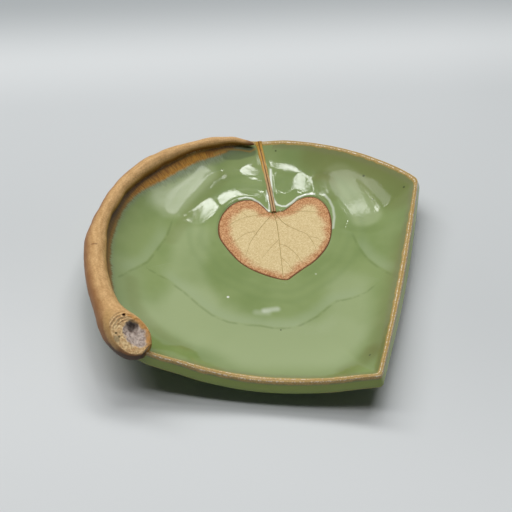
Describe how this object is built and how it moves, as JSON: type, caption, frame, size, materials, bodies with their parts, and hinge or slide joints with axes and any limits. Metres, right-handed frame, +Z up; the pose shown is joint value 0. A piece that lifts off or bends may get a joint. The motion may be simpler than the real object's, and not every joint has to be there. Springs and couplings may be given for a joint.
{
  "type": "spoon rest",
  "caption": "Shallow glazed clay spoon rest with cut edges, a leaf set into its floor, and a rolled twig with a sawn end along its rim.",
  "frame": {"origin": "middle of the dish's flat foot, on the table", "axes": "+Z up, +X towards the straight cut edge, +Y towards the back, where the stem crosses the rim"},
  "size_m": [0.1275, 0.1412, 0.0297],
  "materials": {
    "green_glaze": "glossy celadon glaze",
    "bare_clay_leaf": "bare fired clay",
    "tan_stem": "thinly glazed clay",
    "tan_bark": "bare fired clay, slightly burnished",
    "brown_bark": "bare fired clay",
    "grey_pith": "rough bare clay"
  },
  "bodies": {
    "root": {"dish_slab": "green_glaze", "leaf": "bare_clay_leaf", "leaf_stem": "tan_stem", "twig_coil": "tan_bark", "twig_knot": "brown_bark", "knot_core": "grey_pith"}
  },
  "joints": []
}
